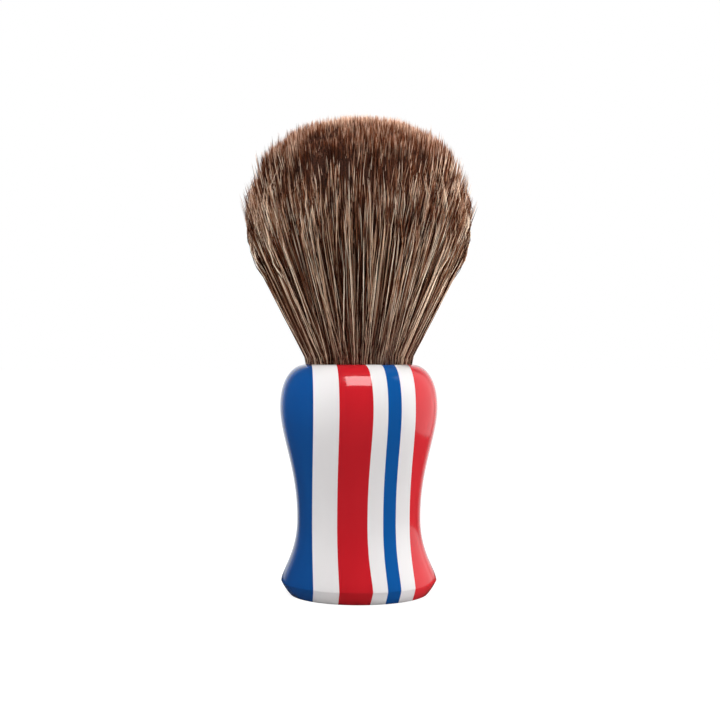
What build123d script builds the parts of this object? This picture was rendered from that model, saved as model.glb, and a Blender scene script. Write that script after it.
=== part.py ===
from build123d import *
import os
from math import cos, radians, sin

# Shaving brush: a knot of natural hair, set in a turned handle of laminated resin.
# The origin is the centre of the flat foot that the brush stands on, with +Z up and the front at -Y.
# All lengths are in millimetres, and angles in degrees.

# Handle, turned from one laminated blank
handle_height = 52.9
foot_radius = 16.0
foot_ring_radius = 18.0
foot_ring_height = 3.0
foot_bevel_bulge = 0.12
waist_radius = 14.3
waist_height = 17.2
shoulder_radius = 18.25
shoulder_height = 43.1
mouth_rounding = 0.4

# How full the curves of the outline are: the length of each curve's end tangent, as a share of the
# height or width that the curve spans, and how far the one at the foot ring leans in from vertical
foot_ring_lean = 6.7
foot_ring_fullness = 0.18
waist_lower_fullness = 0.55
waist_upper_fullness = 0.46
shoulder_lower_fullness = 0.27
shoulder_upper_fullness = 0.64
crown_fullness = 0.56

# Laminated blank: the allowance outside the turned handle, and the seams between the laminations from
# left to right, each as its place at the front and the back of the blank and its bow halfway between
turning_allowance = 1.75
seams = [
    (-9.6, -13.0, 0.0),
    (-3.9, -9.4, 0.0),
    (4.0, -4.2, -1.7),
    (7.4, -0.6, -1.1),
    (11.0, 2.3, -1.4),
    (14.7, 6.3, -1.0),
]
layer_names = [
    "blue_outer_layer",
    "white_layer_left",
    "red_centre_layer",
    "white_layer_middle",
    "blue_narrow_layer",
    "white_layer_right",
    "red_outer_layer",
]

# Socket for the knot
knot_radius = 11.9
socket_clearance = 0.25
socket_depth = 16.0

# Adhesive, plug and thread at the root of the knot
glue_bed = 1.0
glue_rise = 6.5
plug_radius = 11.1
plug_height = 7.5
plug_floor = 1.5
plug_wall = 0.7
thread_diameter = 0.6
thread_turns = 5
thread_spacing_from_plug = 0.5
thread_spacing_from_flare = 0.5

# Hair: the free length above the handle and the bulb that the tips end on
loft = 57.5
bloom_radius = 26.4
tip_fringe = 1.0
bloom_rise = 35.1
flare_lean = 23.0
flare_lower_fullness = 0.56
flare_upper_fullness = 0.33
dome_side_fullness = 0.36
dome_top_fullness = 0.76
mouth_setback = 0.5

# Worked out from the sizes above
socket_radius = knot_radius + socket_clearance
socket_floor = handle_height - socket_depth
plug_base = socket_floor + glue_bed
plug_top = plug_base + plug_height
root_radius = plug_radius - plug_wall
root_base = plug_base + plug_floor
thread_base = plug_top + thread_spacing_from_plug
thread_top = thread_base + thread_turns * thread_diameter
bound_radius = root_radius - thread_diameter / 2
blank_half = max(foot_ring_radius, shoulder_radius) + turning_allowance

os.makedirs("parts", exist_ok=True)


def seam(front_x, back_x, bow):
    """Seam between two laminations, from the front of the blank to the back, in the current line."""
    front = (front_x, -blank_half)
    back = (back_x, blank_half)
    if bow == 0:
        return Line(front, back)
    return ThreePointArc(front, ((front_x + back_x) / 2 + bow, 0), back)


# The whole handle as it is turned, before it is told apart into its laminations
waist_drop = waist_height - foot_ring_height
shoulder_rise = shoulder_height - waist_height
crown_rise = handle_height - shoulder_height
crown_width = shoulder_radius - socket_radius
ring_handle = foot_ring_fullness * waist_drop

with BuildPart() as handle:
    with BuildSketch(Plane.XZ):
        with BuildLine():
            Line((0, 0), (foot_radius, 0))
            SagittaArc((foot_radius, 0), (foot_ring_radius, foot_ring_height), -foot_bevel_bulge)
            Bezier(
                (foot_ring_radius, foot_ring_height),
                (
                    foot_ring_radius - ring_handle * sin(radians(foot_ring_lean)),
                    foot_ring_height + ring_handle * cos(radians(foot_ring_lean)),
                ),
                (waist_radius, waist_height - waist_lower_fullness * waist_drop),
                (waist_radius, waist_height),
            )
            Bezier(
                (waist_radius, waist_height),
                (waist_radius, waist_height + waist_upper_fullness * shoulder_rise),
                (shoulder_radius, shoulder_height - shoulder_lower_fullness * shoulder_rise),
                (shoulder_radius, shoulder_height),
            )
            Bezier(
                (shoulder_radius, shoulder_height),
                (shoulder_radius, shoulder_height + shoulder_upper_fullness * crown_rise),
                (socket_radius + crown_fullness * crown_width, handle_height),
                (socket_radius, handle_height),
            )
            Line((socket_radius, handle_height), (0, handle_height))
            Line((0, handle_height), (0, 0))
        make_face()
    revolve(axis=Axis.Z)
    with Locations(Plane.XY.offset(handle_height)):
        Hole(radius=socket_radius, depth=socket_depth)
    mouth_edge = handle.edges().filter_by(GeomType.CIRCLE).sort_by(Axis.Z)[-1]
    fillet(mouth_edge, radius=mouth_rounding)

# Laminations: the turned handle between one seam and the next
edge_seams = [(-blank_half, -blank_half, 0.0), *seams, (blank_half, blank_half, 0.0)]

for name, left_seam, right_seam in zip(layer_names, edge_seams, edge_seams[1:]):
    with BuildPart() as layer:
        add(handle.part)
        with BuildSketch():
            with BuildLine():
                left = seam(*left_seam)
                right = seam(*right_seam)
                Line(left @ 0, right @ 0)
                Line(left @ 1, right @ 1)
            make_face()
        extrude(amount=handle_height, mode=Mode.INTERSECT)
    layer.part.label = name
    export_step(layer.part, f"parts/{name}.step")

# Adhesive: a bed under the plug and a ring round it, filling the socket's wall
with BuildPart() as knot_adhesive:
    with BuildSketch(Plane.XY.offset(socket_floor)):
        Circle(socket_radius)
    extrude(amount=glue_bed + glue_rise)
    with BuildSketch(Plane.XY.offset(plug_base)):
        Circle(plug_radius)
    extrude(amount=glue_rise, mode=Mode.SUBTRACT)
knot_adhesive.part.label = "knot_adhesive"
export_step(knot_adhesive.part, "parts/knot_adhesive.step")

# Plug: the cast cup that the hair roots stand in
with BuildPart() as knot_plug:
    with BuildSketch(Plane.XY.offset(plug_base)):
        Circle(plug_radius)
    extrude(amount=plug_height)
    with BuildSketch(Plane.XY.offset(root_base)):
        Circle(root_radius)
    extrude(amount=plug_height - plug_floor, mode=Mode.SUBTRACT)
knot_plug.part.label = "knot_plug"
export_step(knot_plug.part, "parts/knot_plug.step")

# Binding: the turns of thread round the root, sunk into the hair by half their thickness
with BuildPart() as root_binding:
    with BuildSketch(Plane.XZ):
        with BuildLine():
            Polyline(
                (bound_radius, thread_base),
                (root_radius, thread_base),
                (root_radius, thread_top),
                (bound_radius, thread_top),
                close=True,
            )
        make_face()
        for turn in range(thread_turns):
            with Locations((root_radius, thread_base + (turn + 0.5) * thread_diameter)):
                Circle(thread_diameter / 2)
    revolve(axis=Axis.Z)
root_binding.part.label = "root_binding"
export_step(root_binding.part, "parts/root_binding.step")

# Hair: straight root in the plug, a waist under the thread, and the bulb above the handle.
# The solid ends on the packed hair; the loose tips stand out past it by the fringe.
packed_height = handle_height + loft - tip_fringe
packed_radius = bloom_radius - tip_fringe
bloom_height = handle_height + bloom_rise
flare_base = thread_top + thread_spacing_from_flare
flare_top = handle_height - mouth_setback
bloom_climb = bloom_height - flare_top
dome_rise = packed_height - bloom_height
flare_handle = flare_lower_fullness * bloom_climb

with BuildPart() as hair_knot:
    with BuildSketch(Plane.XZ):
        with BuildLine():
            Polyline(
                (0, packed_height),
                (0, root_base),
                (root_radius, root_base),
                (root_radius, thread_base),
                (bound_radius, thread_base),
                (bound_radius, thread_top),
                (root_radius, thread_top),
                (root_radius, flare_base),
                (knot_radius, flare_top),
            )
            Bezier(
                (knot_radius, flare_top),
                (
                    knot_radius + flare_handle * sin(radians(flare_lean)),
                    flare_top + flare_handle * cos(radians(flare_lean)),
                ),
                (packed_radius, bloom_height - flare_upper_fullness * bloom_climb),
                (packed_radius, bloom_height),
            )
            Bezier(
                (packed_radius, bloom_height),
                (packed_radius, bloom_height + dome_side_fullness * dome_rise),
                (dome_top_fullness * packed_radius, packed_height),
                (0, packed_height),
            )
        make_face()
    revolve(axis=Axis.Z)
hair_knot.part.label = "hair_knot"
export_step(hair_knot.part, "parts/hair_knot.step")
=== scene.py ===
import math

import bmesh
import bpy
import numpy as np
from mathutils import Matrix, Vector

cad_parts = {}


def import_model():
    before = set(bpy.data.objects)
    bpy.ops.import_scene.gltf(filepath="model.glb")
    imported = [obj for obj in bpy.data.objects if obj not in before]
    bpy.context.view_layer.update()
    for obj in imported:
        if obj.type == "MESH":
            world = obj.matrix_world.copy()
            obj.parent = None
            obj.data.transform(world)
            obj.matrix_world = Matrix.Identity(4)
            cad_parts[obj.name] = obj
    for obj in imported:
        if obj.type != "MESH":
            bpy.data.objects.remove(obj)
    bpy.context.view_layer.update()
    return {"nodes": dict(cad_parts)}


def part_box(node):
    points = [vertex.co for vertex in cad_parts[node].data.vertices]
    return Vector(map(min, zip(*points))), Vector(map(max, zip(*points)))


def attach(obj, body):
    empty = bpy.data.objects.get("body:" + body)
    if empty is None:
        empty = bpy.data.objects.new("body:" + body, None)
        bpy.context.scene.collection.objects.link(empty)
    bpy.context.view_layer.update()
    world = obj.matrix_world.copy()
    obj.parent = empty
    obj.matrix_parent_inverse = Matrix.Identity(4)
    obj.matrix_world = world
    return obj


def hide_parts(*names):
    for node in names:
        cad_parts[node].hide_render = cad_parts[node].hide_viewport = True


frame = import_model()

MM = 0.001

# Measures of the brush, from the frame
FRINGE = 1.0 * MM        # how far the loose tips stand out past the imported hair, which the CAD solid shows
knot_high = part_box("hair_knot")[1]
TIP_Z = knot_high.z + FRINGE
BLOOM_RADIUS = knot_high.x + FRINGE
MOUTH_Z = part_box("red_centre_layer")[1].z
HAIR_LENGTH = TIP_Z - MOUTH_Z


# ---------------------------------------------------------------- node helpers
def new_material(name):
    """An empty node material; returns the material, its nodes and its links."""
    material = bpy.data.materials.new(name)
    material.use_nodes = True
    tree = material.node_tree
    tree.nodes.clear()
    return material, tree.nodes, tree.links


def surface(nodes, links, shader):
    """Makes this shader the material's surface."""
    output = nodes.new("ShaderNodeOutputMaterial")
    links.new(shader, output.inputs["Surface"])


def feed(links, socket, value):
    """Gives a socket its value, or links it to the socket that has it."""
    if isinstance(value, bpy.types.NodeSocket):
        links.new(value, socket)
    else:
        socket.default_value = value


def linear(red, green, blue):
    """The linear colour of an sRGB one given in 0 to 255."""
    def channel(value):
        share = value / 255
        return share / 12.92 if share <= 0.04045 else ((share + 0.055) / 1.055) ** 2.4
    return (channel(red), channel(green), channel(blue), 1.0)


def ramp(nodes, links, factor, stops):
    """A colour ramp over factor with stops of (place, linear colour)."""
    node = nodes.new("ShaderNodeValToRGB")
    elements = node.color_ramp.elements
    while len(elements) < len(stops):
        elements.new(0.5)
    for element, (place, colour) in zip(elements, stops):
        element.position = place
        element.color = colour
    links.new(factor, node.inputs["Fac"])
    return node.outputs["Color"]


def noise_at(nodes, links, places, scale, detail):
    """Noise at the places that a socket gives; returns its factor."""
    texture = nodes.new("ShaderNodeTexNoise")
    texture.inputs["Scale"].default_value = scale
    texture.inputs["Detail"].default_value = detail
    links.new(places, texture.inputs["Vector"])
    return texture.outputs["Fac"]


def noise(nodes, links, scale, detail, stretch=(1, 1, 1)):
    """Noise over the object's own coordinates, in metres times scale; returns its factor."""
    coords = nodes.new("ShaderNodeTexCoord")
    mapping = nodes.new("ShaderNodeMapping")
    mapping.inputs["Scale"].default_value = stretch
    links.new(coords.outputs["Object"], mapping.inputs["Vector"])
    return noise_at(nodes, links, mapping.outputs["Vector"], scale, detail)


def blend_over(nodes, links, value, start, end, low=0.0, high=1.0, smooth=True):
    """Goes from low to high while value goes from start to end, in a smooth or a straight line."""
    node = nodes.new("ShaderNodeMapRange")
    node.interpolation_type = "SMOOTHSTEP" if smooth else "LINEAR"
    for name, number in (("From Min", start), ("From Max", end), ("To Min", low), ("To Max", high)):
        node.inputs[name].default_value = number
    links.new(value, node.inputs["Value"])
    return node.outputs["Result"]


def mix_colour(nodes, links, factor, first, second):
    """Mixes two colours; each is a socket or a linear colour."""
    node = nodes.new("ShaderNodeMix")
    node.data_type = "RGBA"
    for index, value in ((0, factor), (6, first), (7, second)):
        feed(links, node.inputs[index], value)
    return node.outputs[2]


def mix_number(nodes, links, factor, first, second):
    """Mixes two numbers; each is a socket or a plain number."""
    node = nodes.new("ShaderNodeMix")
    for index, value in ((0, factor), (2, first), (3, second)):
        feed(links, node.inputs[index], value)
    return node.outputs[0]


def mix_shader(nodes, links, factor, first, second):
    """Mixes two shaders; all three are sockets."""
    node = nodes.new("ShaderNodeMixShader")
    for socket, value in zip(node.inputs, (factor, first, second)):
        links.new(value, socket)
    return node.outputs[0]


def math_node(nodes, links, operation, *values, clamp=False):
    """The result of a Math node; its values are sockets or plain numbers."""
    node = nodes.new("ShaderNodeMath")
    node.operation = operation
    node.use_clamp = clamp
    for socket, value in zip(node.inputs, values):
        feed(links, socket, value)
    return node.outputs[0]


def unit_vector(nodes, links, vector):
    """The direction of a vector."""
    node = nodes.new("ShaderNodeVectorMath")
    node.operation = "NORMALIZE"
    links.new(vector, node.inputs[0])
    return node.outputs[0]


# ---------------------------------------------------------------- resin handle
RESIN_ROUGHNESS = 0.09
RESIN_MARKS = (0.8, 1.3)      # least and most roughness in the polishing marks, as shares of it
RESIN_IOR = 1.56


def resin(name, colour, deep, cloud_scale=90.0):
    """Polished cast resin: faint clouds between two shades, and a hint of polishing marks."""
    material, nodes, links = new_material(name)
    clouds = noise(nodes, links, cloud_scale, detail=3.0, stretch=(1.0, 1.0, 0.35))
    tone = ramp(nodes, links, clouds, [(0.3, deep), (0.7, colour)])
    shader = nodes.new("ShaderNodeBsdfPrincipled")
    links.new(tone, shader.inputs["Base Color"])
    marks = noise(nodes, links, scale=900.0, detail=2.0, stretch=(1.0, 1.0, 6.0))
    least, most = RESIN_MARKS
    spread = blend_over(nodes, links, marks, start=0.0, end=1.0, low=RESIN_ROUGHNESS * least,
                        high=RESIN_ROUGHNESS * most, smooth=False)
    links.new(spread, shader.inputs["Roughness"])
    shader.inputs["IOR"].default_value = RESIN_IOR
    surface(nodes, links, shader.outputs["BSDF"])
    return material


def dull(name, light, dark, scale, roughness, stretch=(1, 1, 1)):
    """A plain rough material that varies between two shades."""
    material, nodes, links = new_material(name)
    grain = noise(nodes, links, scale, detail=4.0, stretch=stretch)
    tone = ramp(nodes, links, grain, [(0.35, dark), (0.65, light)])
    shader = nodes.new("ShaderNodeBsdfPrincipled")
    links.new(tone, shader.inputs["Base Color"])
    shader.inputs["Roughness"].default_value = roughness
    surface(nodes, links, shader.outputs["BSDF"])
    return material


white_resin = resin("white_resin_finish", linear(243, 240, 240), linear(237, 234, 234), cloud_scale=70.0)
finishes = {
    # partly painted shade: the outer blue slab, on the left, is a darker blue than the narrow one, partly
    # for the shade on that side
    "blue_outer_layer": resin("blue_outer_shaded_finish", linear(17, 80, 150), linear(15, 74, 142)),
    "white_layer_left": white_resin,
    "red_centre_layer": resin("red_centre_finish", linear(206, 32, 42), linear(196, 28, 38)),
    "white_layer_middle": white_resin,
    "blue_narrow_layer": resin("blue_narrow_finish", linear(12, 90, 166), linear(12, 82, 154)),
    "white_layer_right": white_resin,
    # partly painted light: the outer red slab, on the right, is paler than the centre one, partly for the
    # light on that side
    "red_outer_layer": resin("red_outer_lit_finish", linear(226, 48, 56), linear(218, 42, 50)),
    "knot_adhesive": dull("epoxy_finish", linear(222, 205, 160), linear(205, 186, 138),
                          scale=300.0, roughness=0.3),
    "knot_plug": dull("plug_finish", linear(48, 34, 28), linear(30, 22, 18),
                      scale=400.0, roughness=0.4),
    "root_binding": dull("thread_finish", linear(222, 214, 190), linear(168, 158, 132),
                         scale=2500.0, roughness=0.9, stretch=(1.0, 1.0, 3.0)),
}
for node_name, finish in finishes.items():
    node = frame["nodes"][node_name]
    for place in range(len(node.material_slots)):
        node.material_slots[place].material = finish


# ---------------------------------------------------------------- hair
# Heights are above the handle's mouth, and shares are of the mouth's radius. Where a comment says spread,
# it is a standard deviation. Tones go from 0, the darkest hair, to 1, the palest.

# The hairs, in three groups
SEED = 11
LOCKS = 8                     # pieces that the hairs are shared out to, by their turn round the axis
LONG_HAIRS = 5200             # the outermost hairs, which show from root to tip
LONG_SHARES = (0.82, 1.0)     # where they start
LONG_RINGS = 9                # rings along such a hair, the last of them its tip
MIDDLE_HAIRS = 5600           # those that come out at the side of the bulb
MIDDLE_SHARES = (0.58, 0.9)
INNER_HAIRS = 16000           # and those that come out on the dome
INNER_SHARES = (0.0, 0.66)
SHORT_RINGS = 4               # rings along the hairs of these two
RING_SPACING = 0.9            # power of the rings' spacing: below 1, they are closer towards the tip
SIDES = 3                     # sides of a hair's tube

# The outline of the bundle
ROOT_SINK = 3.0 * MM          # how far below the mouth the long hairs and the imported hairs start
MOUTH_RADIUS = 11.75 * MM     # how far from the axis the outermost hairs pass the mouth
FLARE = math.tan(math.radians(27.5))    # slope at which they leave it
FAN_TOP = 0.38 * HAIR_LENGTH  # up to this height the bundle only fans out, and no tips are looked for
BLOOM_H = 35.1 * MM           # height of the widest place
LOWER_SPAN = 30.0 * MM        # half height of the ellipse that the tips follow below it
DOME_POWER = 2.25             # 2 would make the dome above it an ellipse, and more makes it fuller
TIP_RADIUS = BLOOM_RADIUS - 0.4 * MM    # leaves room there for the hairs that stray
CORE_SIDE = 2.2 * MM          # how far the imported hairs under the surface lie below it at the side
CORE_TOP = 2.0 * MM           # and at the top
HEIGHT_STEPS = 400            # heights at which the outline is looked up

# Where hairs start and end
SHORTFALLS = (0.06, 0.01)     # spreads by which hairs end short, as shares of height; half have each
EXTRA_HEIGHTS = (0, 2 * MM, 5 * MM)     # the most that long hairs run on; a third have each
START_SINK = 3 * MM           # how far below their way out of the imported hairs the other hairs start
PARTING = (-0.25, -0.58)      # X and Y of the roots whose tips fall apart, as shares
PARTING_SPREAD = 0.1          # its spread
PARTING_DEPTH = 2.0 * MM      # how much lower the hairs in the middle of it end

# How hairs gather into clumps, stray and lean
CLUMPS = 900
CLUMP_BATCH = 1000            # hairs that are told apart into clumps at a time
CLUMP_PULL = (0.15, 0.55)     # how far hairs are drawn to the middle of their clump, least and most
CLUMP_STRAY = 0.6 * MM        # spread of how far a clump's tips stray
PULL_RATE = 2.5               # how fast on the way up hairs are drawn in
PULL_LOSS = 0.5               # share of it that is lost again at the top
HAIR_STRAY = 0.8 * MM         # spread of how far a hair's tip strays within its clump
STRAY_POWER = 1.2             # how late on the way up it strays
WILD_SHARE = 0.04             # share of hairs that stray further
WILD_STRAY = 1.7              # how many times as far
BEND = 0.35 * MM              # spread of a hair's bow, halfway up
SIDE_LEAN = 0.09              # spread of how far hairs lean across their neighbours, as a slope
LEAN_PART = 0.7               # what a hair and its clump each give to that
SIDE_SHIFT = 0.5 * MM         # spread of how far a whole hair is set to the side
CAP_MARGIN = 0.5 * MM         # how far long hairs may stand out past the bulb
CAP_RETURN = 1.6              # how far they are drawn back, as a multiple of what is past that

# Tones, among them painted shade and painted light
SHAFT_TONE = (0.18, 0.13, 0.26)    # hairs that show their shaft: mean tone, spread of clumps and of hairs
END_TONE = (0.42, 0.1, 0.25)       # and those that show only their ends
PALE_TONE = 0.6               # how much paler the pale ones among the shafts are
PALE_ODDS = (0.36, 0.24)      # how many are pale, on the outside of the bundle and further in
OUTSIDE_SHARE = 0.93          # where the outside begins
DEEP_PAINTED_SHADE = 0.3               # painted shade: how much darker the shafts that start deep in the bundle are, for the shade that falls there
DEEP_SHARE = 0.72             # where that begins
DEEP_SPAN = 0.12              # and how much further in it is full
DEEP_RAGGED = 0.03            # how far the clumps' tones shift it
FRONT_PAINTED_SHADE = 0.08              # painted shade: how much darker the hairs in a shaded valley at the front are
FRONT_SHADE_TURN = 1.515 * math.pi   # where it is, as a turn from +X
FRONT_SHADE_SPREAD = 0.24            # radians to either side at which it has faded to 37 %
CROWN_PAINTED_LIGHT = 0.28             # painted light: how much paler the ends in the middle of the dome are, as the top of the bundle catches the light
CROWN_SHARE = 0.5             # where that begins
CROWN_SPAN = 0.3              # and how much further in it is full
PARTING_PAINTED_SHADE = 0.25           # painted shade: how much darker the hairs in the parting are
TONE_LIMIT = 0.999            # keeps the palest tone inside the last column of the UV map

# Radii: the least, what chance may add and what the palest tone adds, in mm
SHAFT_RADIUS = (0.055, 0.06, 0.03)
END_RADIUS = (0.065, 0.05, 0.02)
ROOT_TAPER = ((0, 0.25, 0.6, 1.0), (0.6, 0.9, 1.0, 1.0))    # ways up the bundle, and shares of the radius
TIP_TAPER = ((0.0, 3 * MM, 9 * MM), (0.45, 0.85, 1.0))      # distances below the tip, and shares of it

# The UV map: columns for the tones in each of its halves, and the margins in a column and in the map
TONE_COLUMNS = 64
COLUMN_MARGIN = 0.1
MAP_MARGIN = 0.02
ROOT_FACE_RISE = 0.004        # keeps some height on the map for the hidden face at a hair's root

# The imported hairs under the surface: their mesh, and the waves that tuft its skin
CORE_AROUND = 216
CORE_LEVELS = 60
TUFT_WAVES = 14               # they are added up
TUFT_TURNS = (9, 46)          # how often a wave goes up and down round the core, from 9 to 45
TUFT_SWAY = 2.0               # the most that a wave's sway can be, to either side
TUFT_TWIST = 6                # radians of phase that a sway of 1 adds, from the root to the top
TUFT_DEPTH = 0.006            # depth of a wave, as a share of the radius
TUFT_RATE = 2                 # how fast the waves grow on the way up
STREAKS_TOP = 0.6             # share of the height up to which its colour shows only streaks
SPECKS_START = 0.85           # and from which it shows only specks


def flow(height):
    """How far out the outermost hairs stand at a height: they lean out, then straighten."""
    above = np.clip(height, 0.0, None)
    return MOUTH_RADIUS + FLARE * (above - above**4 / (4 * HAIR_LENGTH**3))


def outline(height, sink=0.0, top_sink=0.0):
    """The radius of the bulb that the tips end on, at a height; or of a bulb that lies deeper."""
    over = np.clip((height - BLOOM_H) / (HAIR_LENGTH - top_sink - BLOOM_H), 0, 1)
    under = np.clip((BLOOM_H - height) / LOWER_SPAN, 0, 1)
    dome = (1 - over**DOME_POWER) ** (1 / DOME_POWER)
    return (TIP_RADIUS - sink) * dome * np.sqrt(1 - under**2)


def core_radius(height):
    """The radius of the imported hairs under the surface, at a height."""
    deep = outline(height, CORE_SIDE, CORE_TOP)
    fan = flow(height) - CORE_SIDE
    return np.where(height < FAN_TOP, fan, np.minimum(fan, deep))


def height_at(limit, share):
    """Where hairs that start at these shares reach a limit, which gives a radius for each height."""
    heights = np.linspace(FAN_TOP, HAIR_LENGTH, HEIGHT_STEPS)
    limits = np.minimum.accumulate(limit(heights) / flow(heights))
    return np.interp(-share, -limits, heights)


def clumping(rng, root):
    """For each hair the middle of its clump, how it is drawn there, and the clump's tone, stray and lean."""
    clump_share = np.sqrt(rng.random(CLUMPS))
    clump_turn = rng.random(CLUMPS) * 2 * math.pi
    middle = np.stack([clump_share * np.cos(clump_turn), clump_share * np.sin(clump_turn)], 1)
    clump_of = np.empty(len(root), int)
    for start in range(0, len(root), CLUMP_BATCH):
        gap = root[start:start + CLUMP_BATCH, None, :] - middle[None, :, :]
        clump_of[start:start + CLUMP_BATCH] = (gap**2).sum(2).argmin(1)
    pull = rng.uniform(*CLUMP_PULL, CLUMPS)
    tone = rng.normal(0, 1, CLUMPS)
    stray = rng.normal(0, CLUMP_STRAY, (CLUMPS, 2))
    lean = rng.normal(0, 1, CLUMPS)
    return middle[clump_of], pull[clump_of], tone[clump_of], stray[clump_of], lean[clump_of]


def hair_ends(rng, share, parting, long):
    """The heights at which hairs start and end."""
    count = len(share)
    short = np.where(rng.random(count) < 0.5, *SHORTFALLS)
    end = height_at(outline, share) * (1 - short * np.abs(rng.normal(0, 1, count)))
    end -= PARTING_DEPTH * parting
    if long:
        start = np.full(count, -ROOT_SINK)
        end += rng.choice(EXTRA_HEIGHTS, count) * rng.random(count)
    else:
        start = np.minimum(height_at(core_radius, share), end) - START_SINK
    return start, end


def straying(rng, rise, clump_stray):
    """How far hairs stray from their places, by their way up the bundle."""
    stray = rng.normal(0, HAIR_STRAY, (len(rise), 2)) + clump_stray
    wild = rng.random(len(rise)) < WILD_SHARE
    stray[wild] *= WILD_STRAY
    return stray[:, None, :] * (rise**STRAY_POWER)[..., None]


def bending(rng, rise):
    """How far hairs bow out on their way up the bundle."""
    bend = rng.normal(0, BEND, (len(rise), 2))
    return bend[:, None, :] * np.sin(rise * math.pi)[..., None]


def leaning(rng, height, turn, clump_lean):
    """How far hairs lean and stand to the side, across their neighbours."""
    count = len(turn)
    sideways = np.stack([-np.sin(turn), np.cos(turn)], 1)
    lean = SIDE_LEAN * (LEAN_PART * rng.normal(0, 1, count) + LEAN_PART * clump_lean)
    drift = lean[:, None] * (height - height[:, :1]) + rng.normal(0, SIDE_SHIFT, count)[:, None]
    return sideways[:, None, :] * drift[..., None]


def holding_in(flat, height):
    """What hairs that stand out too far are scaled by to bring them in again."""
    reach = np.linalg.norm(flat, axis=2)
    cap = np.where(height > FAN_TOP, outline(height) + CAP_MARGIN, flow(height))
    past = np.clip(reach - cap, 0, None)
    return (1 - CAP_RETURN * past / reach)[..., None]


def hair_tone(rng, share, turn, clump_tone, parting, shaft):
    """The tone of each hair, with painted shade deep in the bundle, in a valley at the front and in the
    parting, and painted light on the ends at the top of the dome.
    """
    count = len(share)
    mean, of_clumps, of_hairs = SHAFT_TONE if shaft else END_TONE
    tone = mean + of_clumps * clump_tone + of_hairs * rng.normal(0, 1, count)
    if shaft:
        tone[rng.random(count) < np.where(share > OUTSIDE_SHARE, *PALE_ODDS)] += PALE_TONE
        # painted shade: shafts that start deep in the bundle are darkened for the shade there
        deep = (DEEP_SHARE - share + DEEP_RAGGED * clump_tone) / DEEP_SPAN
        tone -= DEEP_PAINTED_SHADE * np.clip(deep, 0, 1)
        # painted shade of a valley in the hairs at the front
        tone -= FRONT_PAINTED_SHADE * np.exp(-((turn - FRONT_SHADE_TURN) / FRONT_SHADE_SPREAD) ** 2)
    else:
        # painted light on the ends at the top of the dome
        tone += CROWN_PAINTED_LIGHT * np.clip((CROWN_SHARE - share) / CROWN_SPAN, 0, 1)
    # painted shade in the parting, where the tips fall apart
    tone -= PARTING_PAINTED_SHADE * parting
    return np.clip(tone, 0.0, TONE_LIMIT)


def hair_radii(rng, tone, rise, below_tip, shaft):
    """The radius of each hair at each ring."""
    least, by_chance, by_tone = SHAFT_RADIUS if shaft else END_RADIUS
    thick = (least + by_chance * rng.random(len(tone)) + by_tone * tone) * MM
    taper = np.interp(rise, *ROOT_TAPER)
    taper *= np.interp(below_tip, *TIP_TAPER)
    return thick[:, None] * taper


def hair_paths(rng, count, shares, rings, long, shaft):
    """Points along each hair (hairs, rings, 3), its radius at each ring, its tone, its way up and its turn.

    Long hairs start below the mouth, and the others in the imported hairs. Shaft says that hairs show more
    than their ends.
    """
    share = np.sqrt(rng.uniform(shares[0]**2, shares[1]**2, count))
    turn = rng.random(count) * 2 * math.pi
    root = np.stack([share * np.cos(turn), share * np.sin(turn)], 1)
    middle, pull, clump_tone, clump_stray, clump_lean = clumping(rng, root)
    parting = np.exp(-((root - np.array(PARTING)) ** 2).sum(1) / (2 * PARTING_SPREAD**2))
    start, end = hair_ends(rng, share, parting, long)

    step = np.linspace(0, 1, rings) ** RING_SPACING
    height = start[:, None] + (end - start)[:, None] * step[None, :]
    rise = np.clip(height / HAIR_LENGTH, 0, 1)
    drawn = pull[:, None] * np.clip(rise * PULL_RATE, 0, 1) * (1 - PULL_LOSS * rise)
    place = root[:, None, :] * (1 - drawn[..., None]) + middle[:, None, :] * drawn[..., None]
    flat = place * flow(height)[..., None]
    flat += straying(rng, rise, clump_stray)
    flat += bending(rng, rise)
    if shaft:
        flat += leaning(rng, height, turn, clump_lean)
    if long:
        flat *= holding_in(flat, height)
    points = np.concatenate([flat, (MOUTH_Z + height)[..., None]], 2)

    tone = hair_tone(rng, share, turn, clump_tone, parting, shaft)
    radii = hair_radii(rng, tone, rise, end[:, None] - height, shaft)
    if shaft:
        way_up = np.clip(height / end[:, None], 0, 1)
    else:
        way_up = np.broadcast_to(step[None, :], height.shape)
    return points, radii, tone, way_up, turn


def tube_verts(points, radii, roll):
    """The corners of each hair's tube (hairs, corners, 3): ring by ring from the root, then its tip."""
    count, rings = radii.shape
    along = np.gradient(points, axis=1)
    along /= np.linalg.norm(along, axis=2, keepdims=True)
    side = np.cross(along, np.array([0.0, 1.0, 0.0]))
    side /= np.linalg.norm(side, axis=2, keepdims=True)
    other = np.cross(along, side)
    verts = np.empty((count, (rings - 1) * SIDES + 1, 3))
    for k in range(SIDES):
        angle = (roll + 2 * math.pi * k / SIDES)[:, None, None]
        out = side * np.cos(angle) + other * np.sin(angle)
        verts[:, k:-1:SIDES] = (points + out * radii[..., None])[:, :-1]
    verts[:, -1] = points[:, -1]
    return verts


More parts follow.
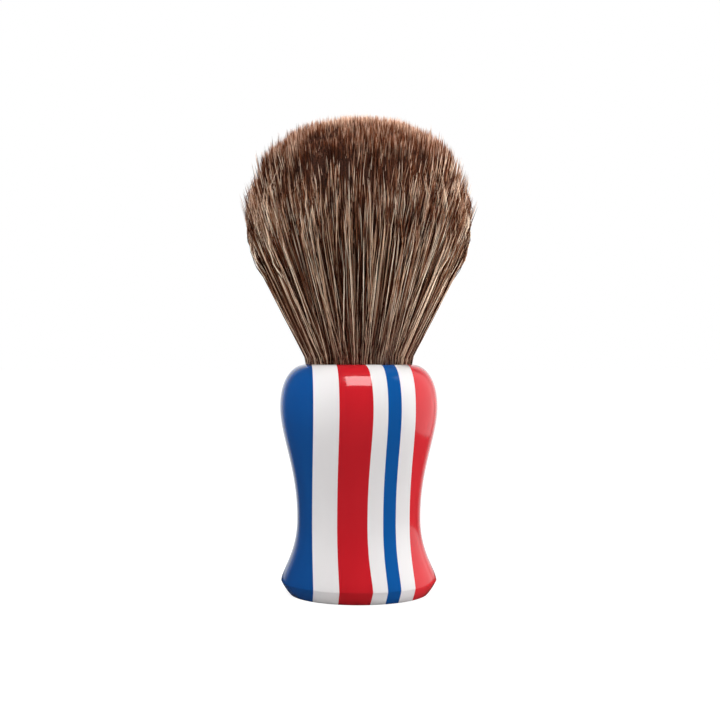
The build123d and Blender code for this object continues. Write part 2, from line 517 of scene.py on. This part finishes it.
def tube_faces(rings):
    """One tube's faces, and two lists like them: how far round each corner is, and at which ring."""
    tip = (rings - 1) * SIDES
    faces, across, up = [], [], []
    for ring in range(rings - 2):
        for k in range(SIDES):
            a, b = ring * SIDES + k, ring * SIDES + (k + 1) % SIDES
            faces.append([a, b, b + SIDES, a + SIDES])
            across.append([k / SIDES, (k + 1) / SIDES, (k + 1) / SIDES, k / SIDES])
            up.append([ring, ring, ring + 1, ring + 1])
    last = (rings - 2) * SIDES
    for k in range(SIDES):
        faces.append([last + k, last + (k + 1) % SIDES, tip])
        across.append([k / SIDES, (k + 1) / SIDES, (k + 0.5) / SIDES])
        up.append([rings - 2, rings - 2, rings - 1])
    # The hidden face at the root
    faces.append([2, 1, 0])
    across.append([0.1, 0.5, 0.9])
    up.append([0, 1, 0])
    return faces, across, up


def tube_uvs(tone, way_up, across, up, half):
    """Each corner's place on the UV map (hairs, corners, 2): a column for the tone, and the way up."""
    column = 0.5 * np.floor(tone * TONE_COLUMNS) / TONE_COLUMNS + 0.5 * half
    inside = COLUMN_MARGIN + (1 - 2 * COLUMN_MARGIN) * across[None, :]
    u = column[:, None] + inside * 0.5 / TONE_COLUMNS
    v = MAP_MARGIN + (1 - 2 * MAP_MARGIN) * np.take(way_up, up, axis=1)
    v[:, -2] += ROOT_FACE_RISE
    return np.stack([u, v], 2)


def hair_mesh(name, groups):
    """A piece of closed tapered tubes. Its UV map holds each hair's tone across and its way up."""
    all_verts, all_corners, all_totals, all_uvs = [], [], [], []
    base = 0
    for points, radii, tone, way_up, roll, half in groups:
        count, rings = radii.shape
        verts = tube_verts(points, radii, roll)
        faces, across, up = tube_faces(rings)
        stride = verts.shape[1]
        starts = base + np.arange(count) * stride
        base += count * stride
        all_verts.append(verts.reshape(-1, 3))
        all_corners.append((np.concatenate(faces)[None, :] + starts[:, None]).ravel())
        all_totals.append(np.tile([len(face) for face in faces], count))
        uvs = tube_uvs(tone, way_up, np.concatenate(across), np.concatenate(up), half)
        all_uvs.append(uvs.reshape(-1, 2))

    verts, corners = np.concatenate(all_verts), np.concatenate(all_corners)
    totals, uvs = np.concatenate(all_totals), np.concatenate(all_uvs)
    mesh = bpy.data.meshes.new(name)
    mesh.vertices.add(len(verts))
    mesh.vertices.foreach_set("co", verts.astype(np.float32).ravel())
    mesh.loops.add(len(corners))
    mesh.loops.foreach_set("vertex_index", corners.astype(np.int32))
    mesh.polygons.add(len(totals))
    loop_starts = np.concatenate([[0], np.cumsum(totals)[:-1]])
    mesh.polygons.foreach_set("loop_start", loop_starts.astype(np.int32))
    mesh.polygons.foreach_set("loop_total", totals.astype(np.int32))
    mesh.polygons.foreach_set("use_smooth", np.ones(len(totals), bool))
    layer = mesh.uv_layers.new(name="OFBake")
    layer.data.foreach_set("uv", uvs.astype(np.float32).ravel())
    mesh.update(calc_edges=True)
    mesh.validate()
    return dressed(name, mesh)


def dressed(name, mesh):
    """An object of this mesh that stands for the CAD hair and rides with it."""
    piece = bpy.data.objects.new(name, mesh)
    bpy.context.scene.collection.objects.link(piece)
    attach(piece, "root")
    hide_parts("hair_knot")
    return piece


def core_mesh(rng):
    """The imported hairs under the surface, as one closed bulb with a tufted skin."""
    angles = np.arange(CORE_AROUND) * 2 * math.pi / CORE_AROUND
    top = HAIR_LENGTH - CORE_TOP
    lift = np.sin(np.linspace(0, 0.5 * math.pi, CORE_LEVELS))
    heights = -ROOT_SINK + (top + ROOT_SINK) * lift
    tufts = np.zeros((CORE_LEVELS, CORE_AROUND))
    for _ in range(TUFT_WAVES):
        turns, sway = rng.integers(*TUFT_TURNS), rng.uniform(-TUFT_SWAY, TUFT_SWAY)
        phase = rng.random() * 2 * math.pi
        tufts += np.sin(turns * angles[None, :] + sway * lift[:, None] * TUFT_TWIST + phase)
    share = 1 + TUFT_DEPTH * tufts * np.clip(lift * TUFT_RATE, 0, 1)[:, None]
    radius = np.maximum(core_radius(heights), 0)[:, None] * share
    mesh = bmesh.new()
    rows = []
    for height, row in zip(heights[:-1], radius[:-1]):
        rows.append([mesh.verts.new((r * math.cos(t), r * math.sin(t), MOUTH_Z + height))
                     for r, t in zip(row, angles)])
    for low, high in zip(rows, rows[1:]):
        for k in range(CORE_AROUND):
            after = (k + 1) % CORE_AROUND
            mesh.faces.new((low[k], low[after], high[after], high[k]))
    crown = mesh.verts.new((0, 0, MOUTH_Z + top))
    for k in range(CORE_AROUND):
        mesh.faces.new((rows[-1][k], rows[-1][(k + 1) % CORE_AROUND], crown))
    mesh.faces.new(rows[0][::-1])
    for face in mesh.faces:
        face.smooth = True
    data = bpy.data.meshes.new("hair_core")
    mesh.to_mesh(data)
    mesh.free()
    return dressed("hair_core", data)


def hair_material():
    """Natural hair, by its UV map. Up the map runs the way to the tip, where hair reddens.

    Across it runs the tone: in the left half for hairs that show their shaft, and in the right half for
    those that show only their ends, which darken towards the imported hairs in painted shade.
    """
    material, nodes, links = new_material("hair_finish")
    coords = nodes.new("ShaderNodeUVMap")
    coords.uv_map = "OFBake"
    split = nodes.new("ShaderNodeSeparateXYZ")
    links.new(coords.outputs["UV"], split.inputs["Vector"])
    up = split.outputs["Y"]
    inner = math_node(nodes, links, "GREATER_THAN", split.outputs["X"], 0.5)
    twice = math_node(nodes, links, "MULTIPLY", split.outputs["X"], 2.0)
    tone = math_node(nodes, links, "SUBTRACT", twice, inner)
    shaft = ramp(nodes, links, tone, [
        (0.0, linear(36, 11, 4)),
        (0.25, linear(88, 45, 28)),
        (0.5, linear(156, 107, 78)),
        (0.75, linear(233, 196, 165)),
        (1.0, linear(249, 229, 206)),
    ])
    root = ramp(nodes, links, tone, [
        (0.0, linear(36, 12, 6)),
        (0.5, linear(121, 73, 53)),
        (1.0, linear(236, 202, 174)),
    ])
    tip = ramp(nodes, links, tone, [
        (0.0, linear(52, 19, 8)),
        (0.4, linear(129, 73, 44)),
        (1.0, linear(231, 197, 172)),
    ])
    risen = blend_over(nodes, links, up, start=0.15, end=0.7)
    reddened = blend_over(nodes, links, up, start=0.85, end=1.0, low=0.0, high=0.8)
    reddened = math_node(nodes, links, "MAXIMUM", reddened, inner)
    whole = mix_colour(nodes, links, risen, root, shaft)
    whole = mix_colour(nodes, links, reddened, whole, tip)
    # painted shade: the ends' hairs darken to a deep brown towards the imported hairs, for the shade deep in
    # the bundle
    deep = blend_over(nodes, links, up, start=0.1, end=0.9, low=0.7, high=0.0)
    painted_shade = math_node(nodes, links, "MULTIPLY", deep, inner)
    whole = mix_colour(nodes, links, painted_shade, whole, linear(58, 27, 16))
    shader = nodes.new("ShaderNodeBsdfPrincipled")
    links.new(whole, shader.inputs["Base Color"])
    shader.inputs["Roughness"].default_value = 0.5
    shader.inputs["Specular IOR Level"].default_value = 0.06
    surface(nodes, links, shader.outputs["BSDF"])
    return material


def core_shade_material():
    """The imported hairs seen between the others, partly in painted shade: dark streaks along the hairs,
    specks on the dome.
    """
    material, nodes, links = new_material("hair_core_shade_finish")
    coords = nodes.new("ShaderNodeTexCoord")
    split = nodes.new("ShaderNodeSeparateXYZ")
    links.new(coords.outputs["Object"], split.inputs[0])
    outward = nodes.new("ShaderNodeCombineXYZ")
    links.new(split.outputs["X"], outward.inputs["X"])
    links.new(split.outputs["Y"], outward.inputs["Y"])
    direction = unit_vector(nodes, links, outward.outputs[0])
    streaks = noise_at(nodes, links, direction, scale=60.0, detail=3.0)
    specks = noise_at(nodes, links, coords.outputs["Object"], scale=3000.0, detail=2.0)
    dome = blend_over(nodes, links, split.outputs["Z"], start=MOUTH_Z + STREAKS_TOP * HAIR_LENGTH,
                      end=MOUTH_Z + SPECKS_START * HAIR_LENGTH, smooth=False)
    grain = mix_number(nodes, links, dome, streaks, specks)
    # partly painted shade: the hair colour is darkened for the shade in the gaps between hairs
    tone = ramp(nodes, links, grain, [
        (0.35, linear(22, 8, 3)),
        (0.65, linear(74, 42, 28)),
    ])
    shader = nodes.new("ShaderNodeBsdfPrincipled")
    links.new(tone, shader.inputs["Base Color"])
    shader.inputs["Roughness"].default_value = 0.8
    shader.inputs["Specular IOR Level"].default_value = 0.1
    surface(nodes, links, shader.outputs["BSDF"])
    return material


rng = np.random.default_rng(SEED)
long_hairs = hair_paths(rng, LONG_HAIRS, LONG_SHARES, LONG_RINGS, long=True, shaft=True)
middle_hairs = hair_paths(rng, MIDDLE_HAIRS, MIDDLE_SHARES, SHORT_RINGS, long=False, shaft=True)
inner_hairs = hair_paths(rng, INNER_HAIRS, INNER_SHARES, SHORT_RINGS, long=False, shaft=False)
hair_finish = hair_material()
for lock in range(LOCKS):
    groups = []
    for half, hairs in ((0, long_hairs), (0, middle_hairs), (1, inner_hairs)):
        points, radii, tone, way_up, turn = hairs
        own = np.floor(turn / (2 * math.pi) * LOCKS).astype(int) == lock
        roll = rng.random(own.sum()) * 2 * math.pi
        groups.append((points[own], radii[own], tone[own], way_up[own], roll, half))
    hair_mesh(f"hair_lock_{lock + 1}", groups).data.materials.append(hair_finish)
core_mesh(rng).data.materials.append(core_shade_material())


# ---------------------------------------------------------------- stage
DIM = 0.04                # how bright the room in front of the object is in reflections
BACKDROP_START = 0.65     # how far to the back a direction points where the backdrop begins in them
VIEWPOINT = 26 * MM       # the height in the handle from which the room is laid out
FLOOR_HALF = 6.0          # half of the floor's width, in metres
FLOOR_COLOUR = (0.7, 0.7, 0.7, 1.0)      # the floor to all that isn't the camera or a reflection
SHADOW_COLOUR = (0.2, 0.2, 0.2, 1.0)     # what shadows can take from the floor that the camera sees
FLOOR_GLOW = 0.92                        # and what they can't


def backdrop(nodes, links, depth):
    """The room as the gloss of the brush shows it: dim in front and beside it, a white backdrop behind.

    Depth is how far to the back a direction points.
    """
    return blend_over(nodes, links, depth, start=BACKDROP_START, end=1.0, low=DIM, high=1.0)


def depth_of(nodes, links, direction):
    """How far to the back a direction points."""
    split = nodes.new("ShaderNodeSeparateXYZ")
    links.new(direction, split.inputs[0])
    return split.outputs["Y"]


def seen_directly(nodes, links, paths):
    """Whether the camera sees a place itself, or through something clear."""
    return math_node(nodes, links, "ADD", paths.outputs["Is Camera Ray"],
                     paths.outputs["Is Transmission Ray"], clamp=True)


def floor():
    """A pale floor: white to the camera apart from the object's shadow, and dim in front in reflections."""
    material, nodes, links = new_material("floor_finish")
    paths = nodes.new("ShaderNodeLightPath")
    plain = nodes.new("ShaderNodeBsdfDiffuse")
    plain.inputs["Color"].default_value = FLOOR_COLOUR
    veil = nodes.new("ShaderNodeBsdfDiffuse")
    veil.inputs["Color"].default_value = SHADOW_COLOUR
    glow = nodes.new("ShaderNodeEmission")
    glow.inputs["Strength"].default_value = FLOOR_GLOW
    white = nodes.new("ShaderNodeAddShader")
    links.new(veil.outputs[0], white.inputs[0])
    links.new(glow.outputs[0], white.inputs[1])
    seen = seen_directly(nodes, links, paths)
    mixed = mix_shader(nodes, links, seen, plain.outputs[0], white.outputs[0])

    place = nodes.new("ShaderNodeNewGeometry")
    offset = nodes.new("ShaderNodeVectorMath")
    offset.operation = "SUBTRACT"
    offset.inputs[1].default_value = (0, 0, VIEWPOINT)
    links.new(place.outputs["Position"], offset.inputs[0])
    depth = depth_of(nodes, links, unit_vector(nodes, links, offset.outputs[0]))
    mirrored = nodes.new("ShaderNodeEmission")
    links.new(backdrop(nodes, links, depth), mirrored.inputs["Strength"])
    whole = mix_shader(nodes, links, paths.outputs["Is Glossy Ray"], mixed, mirrored.outputs[0])
    surface(nodes, links, whole)

    mesh = bpy.data.meshes.new("floor")
    half = FLOOR_HALF
    corners = [(-half, -half, 0), (half, -half, 0), (half, half, 0), (-half, half, 0)]
    mesh.from_pydata(corners, [], [(0, 1, 2, 3)])
    mesh.materials.append(material)
    piece = bpy.data.objects.new("floor", mesh)
    bpy.context.scene.collection.objects.link(piece)


def world():
    """A white backdrop behind the object and a dim room in front of it; the camera sees white all round."""
    sky = bpy.data.worlds.new("studio")
    bpy.context.scene.world = sky
    sky.use_nodes = True
    nodes, links = sky.node_tree.nodes, sky.node_tree.links
    nodes.clear()
    paths = nodes.new("ShaderNodeLightPath")
    coords = nodes.new("ShaderNodeTexCoord")
    depth = depth_of(nodes, links, coords.outputs["Generated"])
    soft = blend_over(nodes, links, depth, start=-0.2, end=0.8, low=0.3, high=0.95)
    lit = mix_number(nodes, links, paths.outputs["Is Glossy Ray"], soft, backdrop(nodes, links, depth))
    strength = mix_number(nodes, links, seen_directly(nodes, links, paths), lit, 1.0)
    background = nodes.new("ShaderNodeBackground")
    background.inputs["Color"].default_value = (1.0, 1.0, 1.0, 1.0)
    links.new(strength, background.inputs["Strength"])
    output = nodes.new("ShaderNodeOutputWorld")
    links.new(background.outputs[0], output.inputs[0])


SPOT_EDGE = 0.8           # how much of a spotlight's cone is its soft edge
SPOT_SIZE = 30 * MM       # radius of a spotlight's source


def hang(lamp, place, aim, mirrored, lights=True):
    """Hangs a lamp at a place, facing another, both in mm; the camera itself doesn't see it."""
    place = Vector(place) * MM
    aim = Vector(aim) * MM
    piece = bpy.data.objects.new(lamp.name, lamp)
    piece.location = place
    piece.rotation_euler = (place - aim).to_track_quat("Z", "Y").to_euler()
    piece.visible_camera = False
    piece.visible_glossy = mirrored
    piece.visible_diffuse = lights
    bpy.context.scene.collection.objects.link(piece)


def softbox(name, place, aim, size, radiance, mirrored=True, lights=True):
    """An area lamp of a size in mm. Gloss shows it where mirrored is true, and it lights all that isn't
    gloss where lights is true."""
    width, height = size[0] * MM, size[1] * MM
    lamp = bpy.data.lights.new(name, "AREA")
    lamp.shape = "RECTANGLE"
    lamp.size = width
    lamp.size_y = height
    lamp.energy = radiance * math.pi * width * height
    hang(lamp, place, aim, mirrored, lights)


def spotlight(name, place, aim, angle, energy):
    """A spotlight with a cone of an angle in degrees and a wide soft edge; gloss doesn't show it."""
    lamp = bpy.data.lights.new(name, "SPOT")
    lamp.energy = energy
    lamp.spot_size = math.radians(angle)
    lamp.spot_blend = SPOT_EDGE
    lamp.shadow_soft_size = SPOT_SIZE
    hang(lamp, place, aim, mirrored=False)


floor()
world()
softbox("front_softbox", (0, -110, 169), (0, -17, 49), size=(94, 80), radiance=7.0, lights=False)
softbox("top_key", (-60, -215, 620), (0, 0, 60), size=(300, 300), radiance=6.0, mirrored=False)
softbox("right_panel", (115, 37, 95), (0, 37, 95), size=(164, 180), radiance=0.75)
softbox("right_fill", (380, -60, 60), (0, 0, 60), size=(300, 300), radiance=2.05, mirrored=False)
spotlight("hair_spot", (250, -70, 150), (9, 0, 88), angle=14, energy=4.3)
spotlight("left_spot", (-250, -90, 60), (-18, 0, 68), angle=8, energy=4.0)
spotlight("rim_spot", (30, 120, 330), (0, 0, 104), angle=15, energy=6.0)
spotlight("handle_spot", (-100, -149, 255), (0, -10, 33), angle=20, energy=1.2)

# The camera looks level along +Y from just above the height of the handle's mouth; places in metres
CAMERA_DISTANCE = 0.2884
CAMERA_HEIGHT = 0.0539
CAMERA_SIDE = 0.00028
LENS = 62.0               # focal length and sensor width in mm
SENSOR = 36.0
camera = bpy.data.cameras.new("camera")
camera.lens = LENS
camera.sensor_width = SENSOR
camera.clip_start = 10 * MM
viewer = bpy.data.objects.new("camera", camera)
viewer.location = (CAMERA_SIDE, -CAMERA_DISTANCE, CAMERA_HEIGHT)
viewer.rotation_euler = (math.radians(90), 0, 0)
bpy.context.scene.collection.objects.link(viewer)
bpy.context.scene.camera = viewer
bpy.context.scene.view_settings.view_transform = "Standard"
